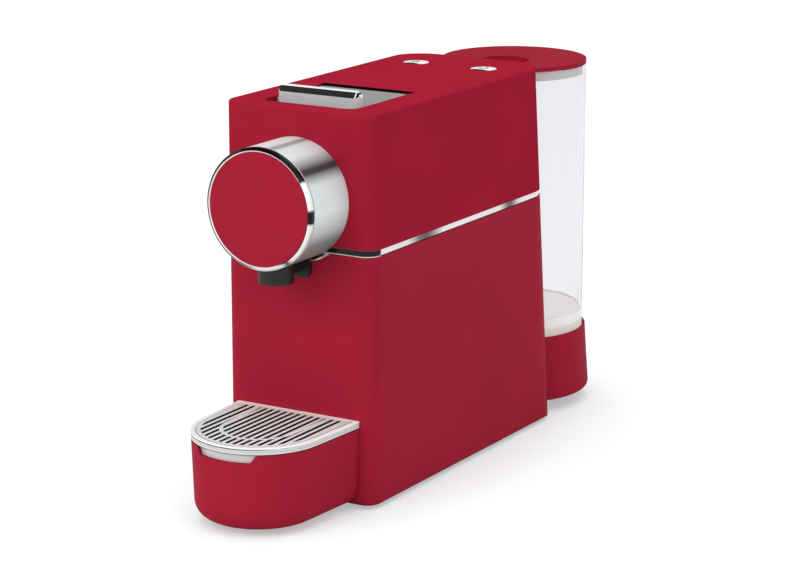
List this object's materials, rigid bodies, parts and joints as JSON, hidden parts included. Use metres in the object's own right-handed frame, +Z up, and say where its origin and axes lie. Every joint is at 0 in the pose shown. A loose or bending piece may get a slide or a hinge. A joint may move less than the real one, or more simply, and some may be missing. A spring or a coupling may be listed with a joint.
{
  "type": "pod coffee machine",
  "caption": "Slim countertop espresso machine for paper pods with a round brew nose, lever top, pull-out drip tray and a round clear water tank behind.",
  "frame": {"origin": "on the table surface, under the centre of the machine's outline seen from above", "axes": "+Z up, +Y from the drip tray to the water tank, +X across the body to its right side as seen from the front"},
  "size_m": [0.1168, 0.4442, 0.2744],
  "materials": {
    "red_plastic": "fine satin lacquer over moulded plastic",
    "black_plastic": "fine matte moulding",
    "chrome": "bright polished plating",
    "satin_silver": "satin, lathe-brushed",
    "silver_plastic": "bright silver plated plastic",
    "steel": "brushed",
    "aluminium": "cast, light texture",
    "rubber": "matte",
    "clear_plastic": "clear, polished",
    "grey_plastic": "fine matte",
    "hose_silicone": "translucent, soft",
    "circuit_green": "lacquered board"
  },
  "bodies": {
    "machine": {"upper_housing": "red_plastic", "lower_housing": "red_plastic", "belt": "chrome", "bottom_plate": "black_plastic", "feet": "rubber", "bottom_screws": "steel", "nose_core": "black_plastic", "nose_sleeve": "satin_silver", "nose_rim": "chrome", "front_disc": "red_plastic", "nose_foot_ring": "chrome", "spout": "black_plastic", "spout_bracket": "black_plastic", "brew_head": "aluminium", "filter_disc": "steel", "brew_frame": "black_plastic", "slot_plate": "black_plastic", "pod_chute": "black_plastic", "lever_hinge_pin": "steel", "water_tube": "steel", "boiler": "aluminium", "boiler_thermostat": "grey_plastic", "pump": "black_plastic", "pump_mounts": "rubber", "inlet_hose": "hose_silicone", "pressure_hose": "hose_silicone", "circuit_board": "circuit_green", "button_board": "circuit_green", "tank_base": "red_plastic", "tank_socket": "grey_plastic", "socket_seal": "rubber", "cord_bush": "black_plastic"},
    "lever": {"lever_plate": "satin_silver", "lever_grip": "chrome", "left_cam": "steel", "right_cam": "steel"},
    "piston_unit": {"piston": "aluminium", "shower_screen": "steel", "piston_seal": "rubber", "piston_carriage": "black_plastic", "follower_pins": "steel", "inlet_seal": "rubber"},
    "button_left": {"left_button": "chrome"},
    "button_right": {"right_button": "chrome"},
    "drawer": {"tray_housing": "red_plastic", "pod_bin": "black_plastic"},
    "drip_tray_unit": {"drip_tray": "silver_plastic"},
    "grate_unit": {"grate": "silver_plastic"},
    "tank": {"water_tank": "clear_plastic"},
    "valve": {"tank_valve": "grey_plastic", "valve_seal": "rubber"},
    "lid": {"tank_lid": "red_plastic", "lid_seal": "grey_plastic"}
  },
  "joints": [
    {"name": "lever_swing", "type": "hinge", "parent": "machine", "child": "lever", "pos_m": [0, -0.04585, 0.26], "axis": [-1, 0, 0], "range_deg": [0, 75]},
    {"name": "piston_slide", "type": "slide", "parent": "machine", "child": "piston_unit", "axis": [0, 1, 0], "range_m": [0, 0.016]},
    {"name": "left_button_press", "type": "slide", "parent": "machine", "child": "button_left", "axis": [0, 0, -1], "range_m": [0, 0.0012], "stiffness_N_per_m": 1500},
    {"name": "right_button_press", "type": "slide", "parent": "machine", "child": "button_right", "axis": [0, 0, -1], "range_m": [0, 0.0012], "stiffness_N_per_m": 1500},
    {"name": "drawer_slide", "type": "slide", "parent": "machine", "child": "drawer", "axis": [0, -1, 0], "range_m": [0, 0.11]},
    {"name": "drip_tray_lift", "type": "slide", "parent": "drawer", "child": "drip_tray_unit", "axis": [0, 0, 1], "range_m": [0, 0.045]},
    {"name": "grate_lift", "type": "slide", "parent": "drip_tray_unit", "child": "grate_unit", "axis": [0, 0, 1], "range_m": [0, 0.03]},
    {"name": "tank_lift", "type": "slide", "parent": "machine", "child": "tank", "axis": [0, 0, 1], "range_m": [0, 0.08]},
    {"name": "valve_plunge", "type": "slide", "parent": "tank", "child": "valve", "axis": [0, 0, 1], "range_m": [0, 0.003], "stiffness_N_per_m": 100},
    {"name": "lid_lift", "type": "slide", "parent": "tank", "child": "lid", "axis": [0, 0, 1], "range_m": [0, 0.04]}
  ],
  "couplings": [
    {"joint": "piston_slide", "follows": "lever_swing", "m_per_rad": 0.012223}
  ]
}
